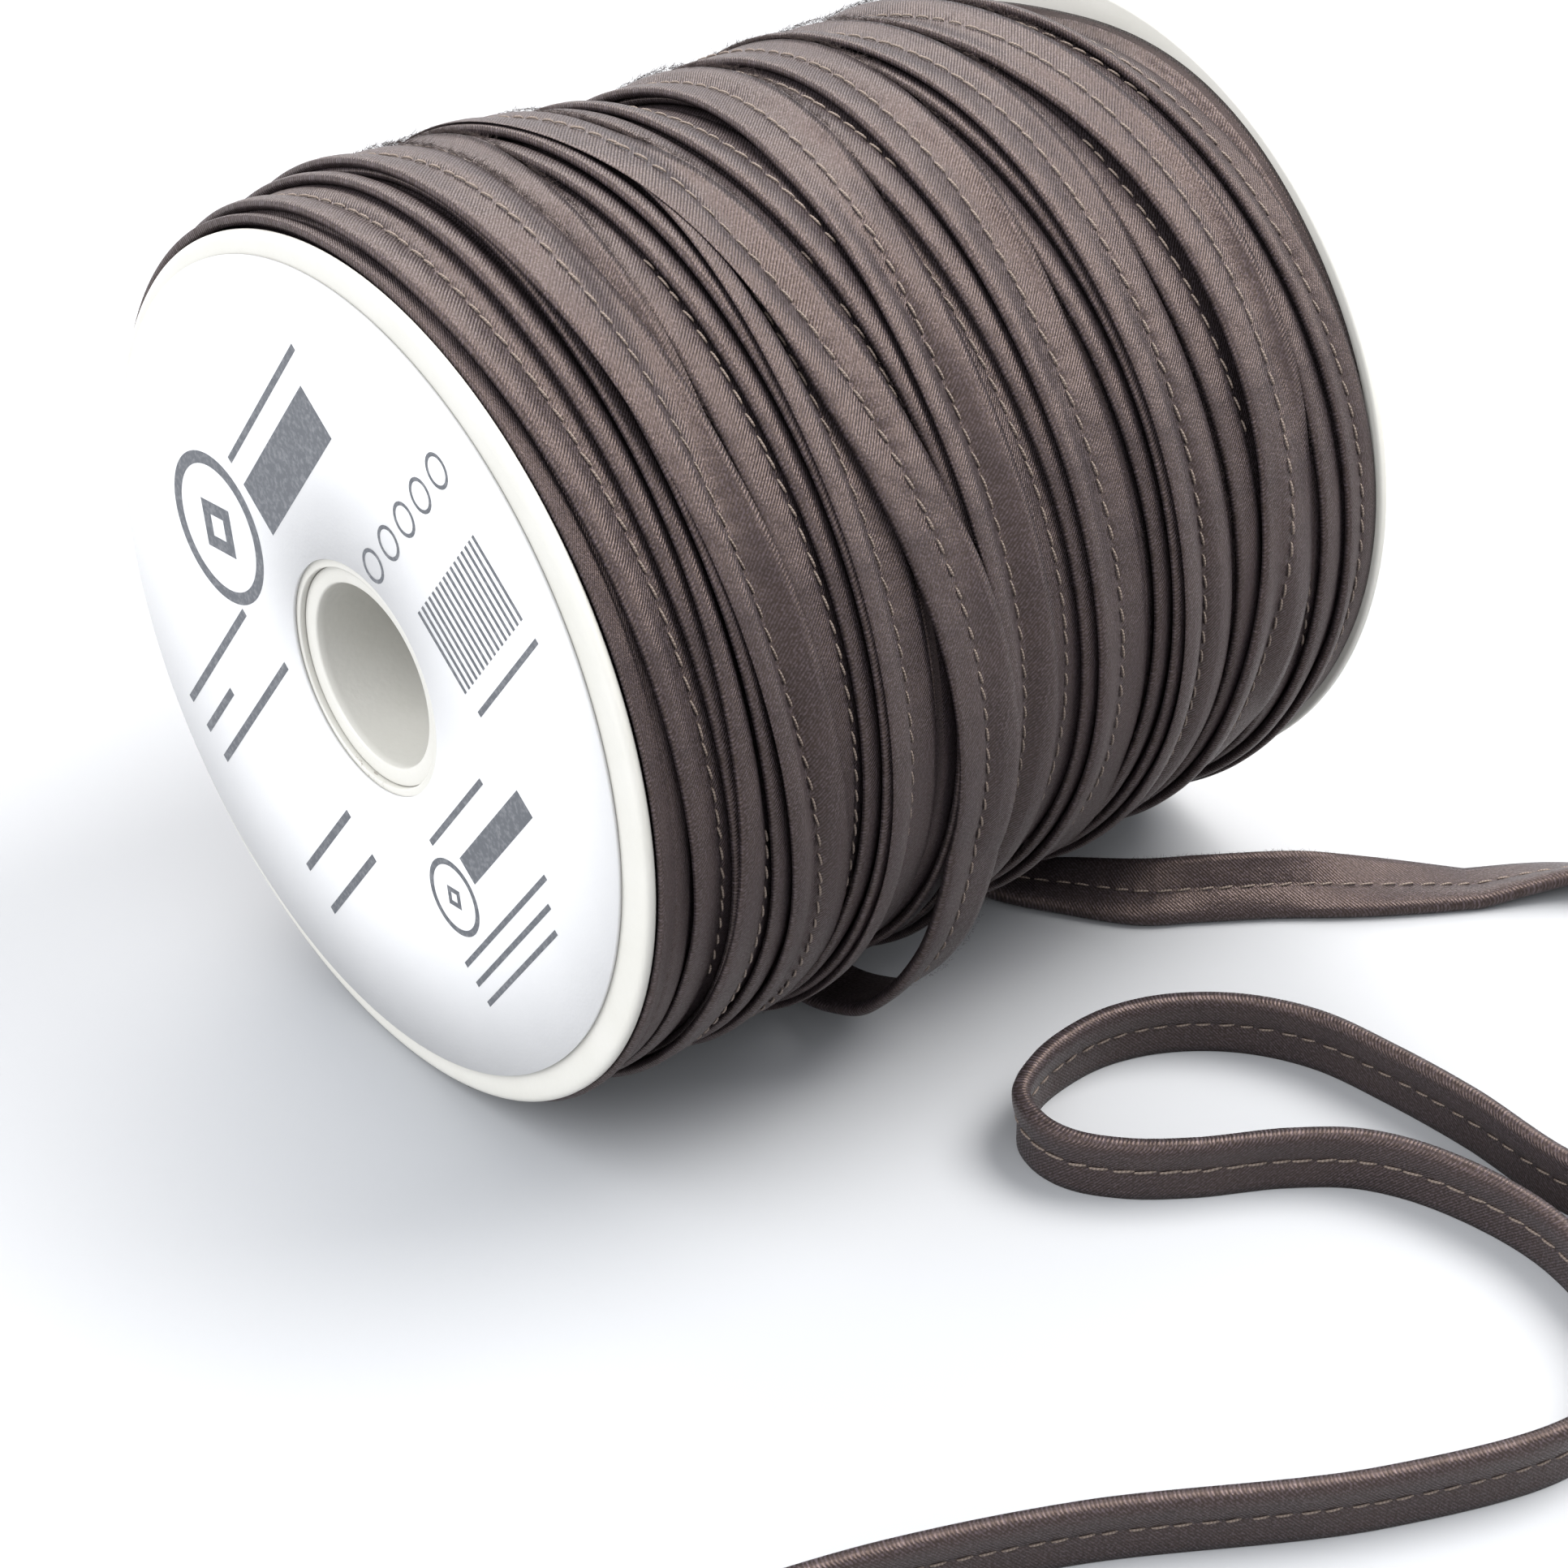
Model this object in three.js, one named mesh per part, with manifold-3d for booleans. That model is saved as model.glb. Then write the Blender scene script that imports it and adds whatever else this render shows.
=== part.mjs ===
// A spool of satin piping lying on its side: a plastic spool wound with piping until it stands proud
// of the flanges, one slack turn that hangs off the roll, and a loose end that lies in a loop in
// front. Millimetres, +Z up. The spool's axis is along X, its labelled flange is at the low end of X,
// the front is towards -Y, and the roll rests on z = 0.

import * as THREE from "three";
import * as BufferGeometryUtils from "three/addons/utils/BufferGeometryUtils.js";
import Module from "manifold-3d";

const wasm = await Module();
wasm.setup();

// Space between two pieces that touch
const GAP = 0.3;

// The spool. Places along its axis are measured from the face of the label
const FLANGE_RADIUS = 60;
const FLANGE_THICKNESS = 1.5;
const FLANGE_FRONT = 0.2;
const FLANGE_BACK = 127.8;
const RIM_BEVEL = 0.4;
const RIM_BEVEL_DEPTH = 1.2;
const TUBE_RADIUS = 15;
const TUBE_SET_BACK = 0.8;
const BORE_RADIUS = 12.4;
const BORE_MOUTH_RADIUS = 13;
const BORE_MOUTH_DEPTH = 1.85;
const LABEL_INNER = 16.5;
const LABEL_OUTER = 56.6;
const LABEL_THICKNESS = 0.3;
const AXIS_HEIGHT = 61;
const FLANGE_SIDES = 64;
const TUBE_SIDES = 48;
const LABEL_FRONT = FLANGE_FRONT - GAP - LABEL_THICKNESS;
const MIDDLE = (LABEL_FRONT + FLANGE_BACK) / 2;

// The piping: a round bead along one edge of a flat lip, which starts at the seam behind the bead
const PIPING_WIDTH = 10;
const BEAD_RADIUS = 1.3;
const SEAM_FROM_EDGE = 3.4;
const LIP_THICKNESS = 0.9;

// The winding's surface
const WINDING_START = FLANGE_FRONT + FLANGE_THICKNESS + GAP;
const WINDING_END = FLANGE_BACK - FLANGE_THICKNESS - GAP;
const WINDING_STEPS = 100;
const WINDING_SIDES = 36;
const BEAD_RISE = 1.6;
const RIDGE_HALF_WIDTH = 1.9;

// The winding rests on a flat spot, where the turns are pressed together
const FLAT_HALF_ANGLE = 11;
const FLAT_FADE_ANGLE = 8;
const FLAT_RADIUS = 62.2;

// Radius over the beads along the roll: on the upper back and on the lower front
const SWELL_AXIS_ANGLE = -42.6;
const SWELL = [
  { x: 2, upper: 61.2, lower: 60.3 },
  { x: 7, upper: 63.3, lower: 61.1 },
  { x: 14, upper: 64.9, lower: 61.6 },
  { x: 25, upper: 64.1, lower: 62.0 },
  { x: 34, upper: 63.4, lower: 62.7 },
  { x: 42, upper: 62.9, lower: 61.8 },
  { x: 50, upper: 61.9, lower: 61.3 },
  { x: 60, upper: 60.6, lower: 61.2 },
  { x: 72, upper: 61.2, lower: 61.1 },
  { x: 86, upper: 61.4, lower: 61.1 },
  { x: 96, upper: 60.4, lower: 61.0 },
  { x: 106, upper: 61.2, lower: 60.9 },
  { x: 116, upper: 60.6, lower: 60.8 },
  { x: 126, upper: 59.6, lower: 60.3 },
];

// The hollow in the winding beside the back flange, at the top of the roll
const HOLLOW = { x: 122, length: 9, angle: -12, spread: 26, depth: 4.2 };

// Where the bead of each turn on the surface starts along the roll, at six angles counted from the
// top towards the front. A turn that lies over its neighbours shows its whole lip.
const TURN_ANGLES = [-15, 15, 45, 75, 105, 130];
const TURNS = [
  { over: false, at: [1.8, 1.8, 1.8, 1.8, 1.8, 1.8] },
  { over: false, at: [4.3, 3.4, 4.5, 5.8, 7.9, 7.6] },
  { over: false, at: [12.3, 11.4, 11.2, 12.2, 14.0, 14.0] },
  { over: false, at: [17.5, 16.0, 14.2, 13.3, 13.2, 11.5] },
  { over: true, at: [16.4, 15.2, 16.2, 18.7, 22.7, 23.2] },
  { over: false, at: [23.0, 18.5, 15.8, 17.0, 20.0, 20.0] },
  { over: false, at: [27.5, 27.6, 26.3, 27.4, 28.3, 29.0] },
  { over: false, at: [31.8, 32.6, 32.1, 33.2, 33.9, 33.0] },
  { over: false, at: [35.0, 36.1, 35.4, 35.5, 36.0, 36.0] },
  { over: false, at: [42.0, 38.4, 35.7, 35.9, 36.9, 36.5] },
  { over: true, at: [35.5, 39.5, 41.6, 47.0, 50.8, 49.5] },
  { over: false, at: [47.6, 47.7, 48.0, 49.0, 50.0, 50.0] },
  { over: false, at: [52.0, 52.5, 53.4, 54.5, 55.0, 55.0] },
  { over: true, at: [63.2, 59.1, 55.3, 55.9, 56.8, 56.5] },
  { over: false, at: [64.5, 62.8, 62.5, 64.1, 63.9, 62.0] },
  { over: false, at: [69.5, 68.9, 69.2, 71.0, 72.0, 71.0] },
  { over: true, at: [77.2, 74.2, 72.1, 72.8, 73.8, 73.0] },
  { over: false, at: [81.5, 82.0, 83.0, 84.8, 84.6, 82.0] },
  { over: false, at: [85.8, 86.5, 87.1, 87.0, 87.0, 86.0] },
  { over: true, at: [87.5, 88.6, 87.5, 87.7, 88.4, 87.5] },
  { over: false, at: [92.5, 91.8, 92.4, 93.7, 94.5, 93.0] },
  { over: false, at: [95.5, 96.9, 98.0, 99.5, 100.0, 99.0] },
  { over: true, at: [98.5, 101.7, 104.4, 104.2, 101.4, 102.0] },
  { over: false, at: [106.0, 109.7, 113.2, 114.7, 115.5, 115.0] },
  { over: false, at: [112.5, 115.0, 117.2, 119.5, 120.0, 118.0] },
  { over: false, at: [104.0, 105.0, 106.0, 106.8, 110.6, 114.0] },
];

// The slack turn that hangs off the lower front of the roll: its outer radius by angle
const SLACK_BEAD_START = 49.5;
const SLACK_STEPS = 24;
const SLACK_TURN = [
  { angle: 82, radius: 57.4 },
  { angle: 90, radius: 59.2 },
  { angle: 98, radius: 60.8 },
  { angle: 107, radius: 62.0 },
  { angle: 116, radius: 63.8 },
  { angle: 125, radius: 66.2 },
  { angle: 134, radius: 68.1 },
  { angle: 142, radius: 69.3 },
  { angle: 150, radius: 67.5 },
  { angle: 157, radius: 64.5 },
  { angle: 165, radius: 61.0 },
  { angle: 173, radius: 58.6 },
  { angle: 178, radius: 57.4 },
];

// The loose end's centreline, seen from above, from where it leaves the roll to its cut end. The
// tilt, in degrees, is how far the lip rises from the bead: at -90 the piping stands on its lip.
const LOOSE_END_STEPS = 78;
const LOOSE_END = [
  { x: 88.9, y: -20, tilt: 0 },
  { x: 91, y: -27, tilt: 4 },
  { x: 95, y: -37, tilt: 16 },
  { x: 100.3, y: -45.8, tilt: 38 },
  { x: 107, y: -51, tilt: 54 },
  { x: 117, y: -57, tilt: 52 },
  { x: 127, y: -62.5, tilt: 28 },
  { x: 141, y: -71, tilt: -14 },
  { x: 154, y: -79, tilt: -34 },
  { x: 163, y: -88, tilt: -55 },
  { x: 167, y: -105, tilt: -80 },
  { x: 163, y: -130, tilt: -90 },
  { x: 148, y: -148, tilt: -90 },
  { x: 125, y: -152, tilt: -90 },
  { x: 107, y: -143, tilt: -90 },
  { x: 100, y: -127, tilt: -90 },
  { x: 99.5, y: -109, tilt: -90 },
  { x: 98, y: -96, tilt: -90 },
  { x: 95.5, y: -84.5, tilt: -90 },
  { x: 90, y: -75.5, tilt: -90 },
  { x: 82, y: -69, tilt: -90 },
  { x: 74, y: -66, tilt: -90 },
  { x: 66.5, y: -65.7, tilt: -90 },
  { x: 60, y: -67, tilt: -90 },
  { x: 53.5, y: -70.5, tilt: -90 },
  { x: 51.5, y: -76, tilt: -90 },
  { x: 52.5, y: -81.5, tilt: -90 },
  { x: 57, y: -87.5, tilt: -90 },
  { x: 64, y: -93, tilt: -90 },
  { x: 75, y: -99.5, tilt: -90 },
  { x: 82.5, y: -106, tilt: -90 },
  { x: 87.5, y: -116, tilt: -90 },
  { x: 89.5, y: -132, tilt: -90 },
  { x: 84, y: -148, tilt: -90 },
  { x: 74, y: -156.5, tilt: -90 },
  { x: 63.9, y: -158, tilt: -90 },
  { x: 40, y: -149.5, tilt: -90 },
  { x: 8.5, y: -131, tilt: -90 },
  { x: -13.7, y: -121, tilt: -90 },
  { x: -32, y: -115, tilt: -90 },
];

const radians = THREE.MathUtils.degToRad;
const { lerp, smoothstep, euclideanModulo } = THREE.MathUtils;

function material(colour, roughness) {
  return new THREE.MeshStandardMaterial({ color: colour, roughness, metalness: 0 });
}

const ivoryPlastic = material(0xe6dfcd, 0.35);
const whitePaper = material(0xf1efe8, 0.6);
const brownSatin = material(0x3a2219, 0.45);

function named(name, geometry, surface) {
  const mesh = new THREE.Mesh(geometry, surface);
  mesh.name = name;
  return mesh;
}

// A round piece on the spool's axis, turned from corners given along the axis and across it.
function turned(corners, sides) {
  const outline = [...corners, corners[0]].map(([along, radius]) => new THREE.Vector2(radius, along));
  const geometry = new THREE.LatheGeometry(outline, sides);
  geometry.rotateZ(-Math.PI / 2);
  geometry.translate(0, 0, AXIS_HEIGHT);
  return geometry;
}

// A closed skin over rings of points. Each ring runs counterclockwise, seen from the next ring.
function skin(rings, closing) {
  const sides = rings[0].length;
  const faces = [];
  const count = closing === "ring" ? rings.length : rings.length - 1;
  for (let ring = 0; ring < count; ring++) {
    const here = ring * sides;
    const next = ((ring + 1) % rings.length) * sides;
    for (let side = 0; side < sides; side++) {
      const after = (side + 1) % sides;
      faces.push(here + side, here + after, next + after);
      faces.push(here + side, next + after, next + side);
    }
  }
  if (closing === "ends") {
    const last = (rings.length - 1) * sides;
    for (const [a, b, c] of THREE.ShapeUtils.triangulateShape(SECTION_OUTLINE, [])) {
      faces.push(c, b, a);
      faces.push(last + a, last + b, last + c);
    }
  }
  const geometry = new THREE.BufferGeometry();
  geometry.setFromPoints(rings.flat());
  geometry.setIndex(faces);
  geometry.computeVertexNormals();
  return geometry;
}

// The piping's section, across from the bead to the raw edge and up through its thickness
const BEAD_REACH = PIPING_WIDTH / 2 - BEAD_RADIUS;
const BEAD_SIDE = BEAD_RADIUS * Math.SQRT1_2;
const SEAM_FROM_MIDDLE = PIPING_WIDTH / 2 - SEAM_FROM_EDGE;
const HALF_LIP = LIP_THICKNESS / 2;
const SECTION_OUTLINE = [
  [-PIPING_WIDTH / 2, 0],
  [-BEAD_REACH - BEAD_SIDE, -BEAD_SIDE],
  [-BEAD_REACH, -BEAD_RADIUS],
  [-SEAM_FROM_MIDDLE, -HALF_LIP],
  [PIPING_WIDTH / 2, -HALF_LIP],
  [PIPING_WIDTH / 2, HALF_LIP],
  [-SEAM_FROM_MIDDLE, HALF_LIP],
  [-BEAD_REACH, BEAD_RADIUS],
  [-BEAD_REACH - BEAD_SIDE, BEAD_SIDE],
].map(([across, up]) => new THREE.Vector2(across, up));

// One ring of the piping's section, about a centre, with unit vectors across it and up through it.
function sectionRing(centre, across, up) {
  return SECTION_OUTLINE.map((corner) =>
    centre.clone().addScaledVector(across, corner.x).addScaledVector(up, corner.y),
  );
}

// The corner radius of a faceted hole whose flats clear the core tube.
function holeRadius(sides) {
  return (TUBE_RADIUS + GAP) / Math.cos(Math.PI / sides);
}

function flange(low) {
  const high = low + FLANGE_THICKNESS;
  const hole = holeRadius(FLANGE_SIDES);
  return turned(
    [
      [low, hole],
      [low, FLANGE_RADIUS - RIM_BEVEL_DEPTH],
      [low + RIM_BEVEL, FLANGE_RADIUS],
      [high - RIM_BEVEL, FLANGE_RADIUS],
      [high, FLANGE_RADIUS - RIM_BEVEL_DEPTH],
      [high, hole],
    ],
    FLANGE_SIDES,
  );
}

function coreTube() {
  const low = FLANGE_FRONT + TUBE_SET_BACK;
  const high = FLANGE_BACK - TUBE_SET_BACK;
  return turned(
    [
      [low, BORE_MOUTH_RADIUS],
      [low, TUBE_RADIUS],
      [high, TUBE_RADIUS],
      [high, BORE_MOUTH_RADIUS],
      [high - BORE_MOUTH_DEPTH, BORE_RADIUS],
      [low + BORE_MOUTH_DEPTH, BORE_RADIUS],
    ],
    TUBE_SIDES,
  );
}

function label() {
  const back = LABEL_FRONT + LABEL_THICKNESS;
  return turned(
    [
      [LABEL_FRONT, LABEL_INNER],
      [LABEL_FRONT, LABEL_OUTER],
      [back, LABEL_OUTER],
      [back, LABEL_INNER],
    ],
    FLANGE_SIDES,
  );
}

// The value at a place along a table's rows, eased from row to row.
function along(rows, key, place, column) {
  const last = rows.length - 2;
  const found = rows.findIndex((row, number) => number > last || rows[number + 1][key] > place);
  const number = Math.min(found, last);
  const share = smoothstep(place, rows[number][key], rows[number + 1][key]);
  return lerp(rows[number][column], rows[number + 1][column], share);
}

// Where a turn's bead starts along the roll at an angle. Behind the roll it eases back to its start.
function beadStart(turn, angle) {
  const knots = turn.at.map((x, number) => ({ angle: TURN_ANGLES[number], x }));
  knots.push({ angle: TURN_ANGLES[0] + 360, x: turn.at[0] });
  const place = TURN_ANGLES[0] + euclideanModulo(angle - TURN_ANGLES[0], 360);
  return along(knots, "angle", place, "x");
}

// How far a turn raises the surface above the lips under it, at a place along the roll.
function turnRise(turn, x, angle) {
  const across = x - beadStart(turn, angle);
  const lift = turn.over && across > 0 && across < PIPING_WIDTH ? LIP_THICKNESS : 0;
  const fromRidge = Math.min(Math.abs(across - BEAD_RADIUS) / RIDGE_HALF_WIDTH, 1);
  return lift + BEAD_RISE * Math.cos((fromRidge * Math.PI) / 2) ** 2;
}

function windingRadius(x, angle) {
  const upper = (1 + Math.cos(radians(angle - SWELL_AXIS_ANGLE))) / 2;
  const beads = lerp(along(SWELL, "x", x, "lower"), along(SWELL, "x", x, "upper"), upper);
  const aroundHollow = euclideanModulo(angle - HOLLOW.angle + 180, 360) - 180;
  const hollow =
    HOLLOW.depth *
    Math.exp(-((aroundHollow / HOLLOW.spread) ** 2)) *
    smoothstep(x, HOLLOW.x - HOLLOW.length, HOLLOW.x);
  const rise = Math.max(...TURNS.map((turn) => turnRise(turn, x, angle)));
  const fromFoot = Math.abs(euclideanModulo(angle, 360) - 180) - FLAT_HALF_ANGLE;
  const pressed = 1 - smoothstep(fromFoot, 0, FLAT_FADE_ANGLE);
  return lerp(beads - hollow - BEAD_RISE + rise, FLAT_RADIUS, pressed);
}

function onRoll(x, angle, radius) {
  const side = radians(angle);
  const height = Math.max(AXIS_HEIGHT + radius * Math.cos(side), 0);
  return new THREE.Vector3(x, -radius * Math.sin(side), height);
}

function rollRing(x, radiusAt) {
  const angles = Array.from({ length: WINDING_SIDES }, (_, side) => (360 * side) / WINDING_SIDES);
  return angles.map((angle) => onRoll(x, angle, radiusAt(angle)));
}

function woundTurns() {
  const onTube = () => holeRadius(WINDING_SIDES);
  const rings = [rollRing(WINDING_START, onTube)];
  for (let step = 0; step <= WINDING_STEPS; step++) {
    const x = lerp(WINDING_START, WINDING_END, step / WINDING_STEPS);
    rings.push(rollRing(x, (angle) => windingRadius(x, angle)));
  }
  rings.push(rollRing(WINDING_END, onTube));
  return skin(rings, "ring");
}

function slackTurn() {
  const across = new THREE.Vector3(1, 0, 0);
  const middle = SLACK_BEAD_START + PIPING_WIDTH / 2;
  const first = SLACK_TURN[0].angle;
  const last = SLACK_TURN.at(-1).angle;
  const rings = [];
  for (let step = 0; step <= SLACK_STEPS; step++) {
    const angle = lerp(first, last, step / SLACK_STEPS);
    const radius = along(SLACK_TURN, "angle", angle, "radius") - BEAD_RADIUS;
    const up = new THREE.Vector3(0, -Math.sin(radians(angle)), Math.cos(radians(angle)));
    rings.push(sectionRing(onRoll(middle, angle, radius), across, up));
  }
  return skin(rings, "ends");
}

function solid(geometry) {
  const bare = geometry.clone();
  bare.deleteAttribute("normal");
  bare.deleteAttribute("uv");
  const merged = BufferGeometryUtils.mergeVertices(bare);
  return new wasm.Manifold(
    new wasm.Mesh({
      numProp: 3,
      vertProperties: new Float32Array(merged.attributes.position.array),
      triVerts: new Uint32Array(merged.index.array),
    }),
  );
}

function geometryOf(body) {
  const mesh = body.getMesh();
  const geometry = new THREE.BufferGeometry();
  geometry.setAttribute("position", new THREE.BufferAttribute(mesh.vertProperties, 3));
  geometry.setIndex(new THREE.BufferAttribute(mesh.triVerts, 1));
  geometry.computeVertexNormals();
  return geometry;
}

function winding() {
  return geometryOf(solid(woundTurns()).add(solid(slackTurn())));
}

// The height of the piping's middle when its lower edge rests on the surface at a tilt.
function restHeight(tilt) {
  const rise = Math.sin(radians(tilt));
  const onBead = BEAD_RADIUS + BEAD_REACH * rise;
  const onLip = HALF_LIP * Math.cos(radians(tilt)) - (PIPING_WIDTH / 2) * rise;
  return Math.max(onBead, onLip);
}

function looseEnd() {
  const plan = LOOSE_END.map(({ x, y }) => new THREE.Vector3(x, y, 0));
  const route = new THREE.CatmullRomCurve3(plan, false, "centripetal");
  const rows = LOOSE_END.map(({ tilt }, place) => ({ place, tilt }));
  const up = new THREE.Vector3(0, 0, 1);
  const rings = [];
  for (let step = 0; step <= LOOSE_END_STEPS; step++) {
    const share = step / LOOSE_END_STEPS;
    const place = route.getUtoTmapping(share) * (LOOSE_END.length - 1);
    const tilt = along(rows, "place", place, "tilt");
    const centre = route.getPointAt(share).setZ(restHeight(tilt));
    const ahead = route.getTangentAt(share);
    const left = up.clone().cross(ahead);
    const across = left.applyAxisAngle(ahead, radians(tilt));
    rings.push(sectionRing(centre, across, ahead.clone().cross(across)));
  }
  return skin(rings, "ends");
}

const roll = new THREE.Group();
roll.position.x = -MIDDLE;
roll.add(named("flange_front", flange(FLANGE_FRONT), ivoryPlastic));
roll.add(named("flange_back", flange(FLANGE_BACK - FLANGE_THICKNESS), ivoryPlastic));
roll.add(named("core_tube", coreTube(), ivoryPlastic));
roll.add(named("label", label(), whitePaper));
roll.add(named("winding", winding(), brownSatin));
roll.add(named("loose_end", looseEnd(), brownSatin));

const part = new THREE.Group();
part.add(roll);

export default part;
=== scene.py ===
"""A spool of brown satin piping on its side, with a slack turn and a loose end, on a pale floor.

Shapes are worked out in millimetres in the spool's own frame, where x runs along the axis from the
label's side, and are turned into metres in the row frame when a mesh is made.
"""

import math

import bpy
import numpy as np
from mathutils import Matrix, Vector


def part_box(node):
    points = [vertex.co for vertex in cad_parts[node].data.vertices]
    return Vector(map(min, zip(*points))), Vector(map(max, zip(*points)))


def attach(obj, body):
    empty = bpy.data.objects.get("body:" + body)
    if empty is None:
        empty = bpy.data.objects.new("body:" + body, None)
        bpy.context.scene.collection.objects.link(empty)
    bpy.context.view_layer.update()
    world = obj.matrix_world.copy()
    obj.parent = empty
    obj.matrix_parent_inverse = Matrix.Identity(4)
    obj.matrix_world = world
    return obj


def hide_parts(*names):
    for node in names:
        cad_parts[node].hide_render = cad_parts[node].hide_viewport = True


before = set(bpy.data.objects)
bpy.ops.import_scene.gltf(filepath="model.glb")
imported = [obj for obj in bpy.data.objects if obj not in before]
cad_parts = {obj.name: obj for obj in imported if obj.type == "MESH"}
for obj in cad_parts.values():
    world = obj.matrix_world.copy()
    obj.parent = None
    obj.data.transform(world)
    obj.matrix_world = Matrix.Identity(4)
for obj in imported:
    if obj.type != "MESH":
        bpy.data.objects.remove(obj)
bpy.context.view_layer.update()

MM = 0.001
FLANGE_FACE = 0.2
FACE_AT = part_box("flange_front")[0][0] / MM - FLANGE_FACE
AXIS_HEIGHT = (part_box("core_tube")[0][2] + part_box("core_tube")[1][2]) / 2 / MM

# The photograph's camera, in the spool's frame
CAMERA_PLACE = (-212.68, -346.89, 331.71)
CAMERA_AHEAD = (0.51476, 0.63117, -0.58021)
CAMERA_LENS = 86.04
CAMERA_SENSOR = 36.0

# The piping: a bead, a seam beside it, and a flat lip with a raw edge
WIDTH = 10.0
BEAD = 1.3
SEAM = 5.0
LIP = 0.85
SEAM_DIP = 0.12
EDGE_INSET = 0.15

# On the roll the bead is pressed flatter
WOUND_FLANK = 0.75
WOUND_HEIGHT = 1.8

rng = np.random.default_rng(7)


def row_point(x, y, z):
    """A point of the spool's own frame, in the row frame."""
    return ((x + FACE_AT) * MM, y * MM, z * MM)


def row_points(points):
    """An array of points of the spool's own frame, in the row frame."""
    return (np.asarray(points, float) + [FACE_AT, 0.0, 0.0]) * MM


def add_camera():
    """The photograph's camera: its place and direction, with a square picture."""
    camera = bpy.data.objects.new("camera", bpy.data.cameras.new("camera"))
    camera.data.sensor_width = CAMERA_SENSOR
    camera.data.sensor_height = CAMERA_SENSOR
    camera.data.lens = CAMERA_LENS
    camera.data.clip_start = 0.02
    camera.data.clip_end = 20.0
    camera.location = row_point(*CAMERA_PLACE)
    camera.rotation_euler = Vector(CAMERA_AHEAD).to_track_quat("-Z", "Y").to_euler()
    bpy.context.scene.collection.objects.link(camera)
    bpy.context.scene.camera = camera


# Meshes


def add_mesh(name, points, faces, uvs, material):
    """A smooth piece on the root body, from points in the spool's frame."""
    mesh = bpy.data.meshes.new(name)
    mesh.vertices.add(len(points))
    mesh.vertices.foreach_set("co", row_points(points).ravel())
    faces = np.asarray(faces)
    mesh.loops.add(faces.size)
    mesh.loops.foreach_set("vertex_index", faces.ravel())
    mesh.polygons.add(len(faces))
    mesh.polygons.foreach_set("loop_start", np.arange(len(faces)) * faces.shape[1])
    mesh.update(calc_edges=True)
    layer = mesh.uv_layers.new(name="cloth")
    layer.data.foreach_set("uv", np.asarray(uvs, float).ravel())
    mesh.materials.append(material)
    mesh.shade_smooth()
    piece = bpy.data.objects.new(name, mesh)
    bpy.context.scene.collection.objects.link(piece)
    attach(piece, "root")
    return piece


def add_grid(name, grid, along, across, material, rings_close=False, sides_close=True):
    """A piece from a grid of rings by sides, with UVs in millimetres along it and across it."""
    rings, sides = grid.shape[:2]
    r = np.arange(rings if rings_close else rings - 1)
    s = np.arange(sides if sides_close else sides - 1)
    r, s = (a.ravel() for a in np.meshgrid(r, s, indexing="ij"))
    corners_r = np.stack([r, r, r + 1, r + 1], 1)
    corners_s = np.stack([s, s + 1, s + 1, s], 1)
    faces = (corners_r % rings) * sides + corners_s % sides
    uvs = np.stack([along[corners_r], across[corners_s]], -1)
    return add_mesh(name, grid.reshape(-1, 3), faces, uvs, material)


def add_copies(name, shape, shape_faces, shape_uvs, places, along, across, out, material):
    """Many copies of a small shape in one piece, each at its place and on its own three axes."""
    points = (
        places[:, None]
        + shape[..., :1] * along[:, None]
        + shape[..., 1:2] * across[:, None]
        + shape[..., 2:] * out[:, None]
    )
    count = len(places)
    size = points.shape[1]
    faces = (np.arange(count) * size)[:, None, None] + shape_faces[None]
    uvs = np.broadcast_to(shape_uvs[shape_faces][None], (count, *shape_faces.shape, 2))
    return add_mesh(name, points.reshape(-1, 3), faces.reshape(-1, 3), uvs, material)


def tube_shape(centres, radii, sides):
    """A thin tube that closes to a point at both ends: its points, triangles and UVs."""
    turn = np.arange(sides) * 2 * math.pi / sides
    ring = np.stack([np.zeros(sides), np.cos(turn), np.sin(turn)], 1)
    centres = np.asarray(centres, float)
    inner = centres[1:-1, None] + ring[None] * np.asarray(radii)[1:-1, None, None]
    points = np.concatenate([centres[:1], inner.reshape(-1, 3), centres[-1:]])
    last = len(points) - 1
    faces = []
    for s in range(sides):
        t = (s + 1) % sides
        faces.append((0, 1 + t, 1 + s))
        for r in range(len(centres) - 3):
            low = 1 + r * sides
            faces.append((low + s, low + t, low + sides + t))
            faces.append((low + s, low + sides + t, low + sides + s))
        low = last - sides
        faces.append((low + s, low + t, last))
    uvs = np.stack([points[:, 0], np.arctan2(points[:, 2], points[:, 1])], 1)
    return points, np.array(faces), uvs


def unit(vectors):
    return vectors / np.linalg.norm(vectors, axis=-1, keepdims=True)


def ease(value, low, high):
    """0 below low, 1 above high, eased between."""
    share = np.clip((value - low) / (high - low), 0, 1)
    return share * share * (3 - 2 * share)


# The piping's section


def section_profile(flank, height):
    """Across and height of the piping's upper side: round the bead, down to the seam, over the lip."""
    points = [
        (flank * (1 + math.cos(a)), height / 2 * (1 + math.sin(a))) for a in np.radians([180, 148, 118])
    ]
    for share in (0.0, 0.19, 0.41, 0.62, 0.81, 0.93):
        points.append((flank + (SEAM - flank) * share, LIP + (height - LIP) * (1 - share**2)))
    lip = [(5.0, -SEAM_DIP), (5.3, -0.02), (5.8, 0.05), (7.2, 0.0), (8.8, -0.03), (9.85, -0.12)]
    return np.array(points + [(across, LIP + rise) for across, rise in lip])


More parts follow.
